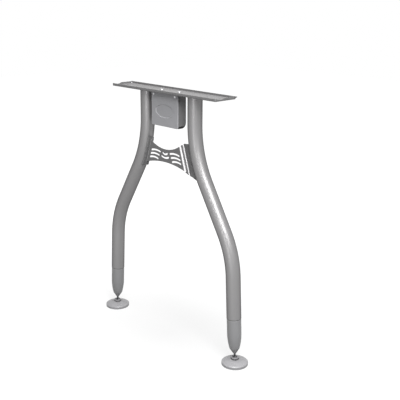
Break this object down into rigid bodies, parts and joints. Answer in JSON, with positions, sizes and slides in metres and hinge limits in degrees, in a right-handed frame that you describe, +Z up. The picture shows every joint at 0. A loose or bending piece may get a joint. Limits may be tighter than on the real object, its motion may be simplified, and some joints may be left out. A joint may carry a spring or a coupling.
{
  "type": "desk leg",
  "caption": "Flared desk end frame: two bent tubes under a tray-shaped top rail, slotted gusset panel, covered bracket for a cross beam, and feet that screw out to level",
  "frame": {"origin": "on the floor, midway between the two feet", "axes": "+X along the rail towards the right foot as seen from the cover, +Y towards the side where the cross beam leaves, +Z up"},
  "size_m": [0.593, 0.075, 0.725],
  "materials": {
    "frame_paint": "satin silver powder coat",
    "cover_plastic": "fine-grained silver-grey moulding",
    "black_plastic": "matt black",
    "plated_steel": "zinc plated, slightly dull",
    "end_plastic": "smooth grey moulding",
    "stud_steel": "dull turned steel",
    "pad_plastic": "light grey moulding, semi-matt",
    "sole_rubber": "matt black"
  },
  "bodies": {
    "frame": {"top_rail": "frame_paint", "left_tube": "frame_paint", "right_tube": "frame_paint", "rail_welds": "frame_paint", "panel_welds": "frame_paint", "perforated_panel": "frame_paint", "beam_bracket": "frame_paint", "bracket_cover": "cover_plastic", "bracket_liner": "black_plastic", "cover_screws": "plated_steel", "bracket_bolts": "plated_steel", "bracket_nuts": "plated_steel", "left_tube_end": "end_plastic", "right_tube_end": "end_plastic", "left_insert": "stud_steel", "right_insert": "stud_steel"},
    "left_foot": {"left_foot_pad": "pad_plastic", "left_sole": "sole_rubber"},
    "right_foot": {"right_foot_pad": "pad_plastic", "right_sole": "sole_rubber"},
    "left_screw": {"left_stud": "stud_steel"},
    "right_screw": {"right_stud": "stud_steel"}
  },
  "joints": [
    {"name": "left_foot_height", "type": "slide", "parent": "frame", "child": "left_foot", "axis": [-0.0545, 0, -0.9985], "range_m": [-0.005, 0.02]},
    {"name": "left_stud_turn", "type": "hinge", "parent": "left_foot", "child": "left_screw", "pos_m": [-0.26, 0, 0.0115], "axis": [-0.0545, 0, -0.9985], "range_deg": [-7200, 1800]},
    {"name": "right_foot_height", "type": "slide", "parent": "frame", "child": "right_foot", "axis": [0.0545, 0, -0.9985], "range_m": [-0.005, 0.02]},
    {"name": "right_stud_turn", "type": "hinge", "parent": "right_foot", "child": "right_screw", "pos_m": [0.26, 0, 0.0115], "axis": [0.0545, 0, -0.9985], "range_deg": [-7200, 1800]}
  ],
  "couplings": [
    {"joint": "left_stud_turn", "follows": "left_foot_height", "rad_per_m": -6283.2},
    {"joint": "right_stud_turn", "follows": "right_foot_height", "rad_per_m": -6283.2}
  ]
}
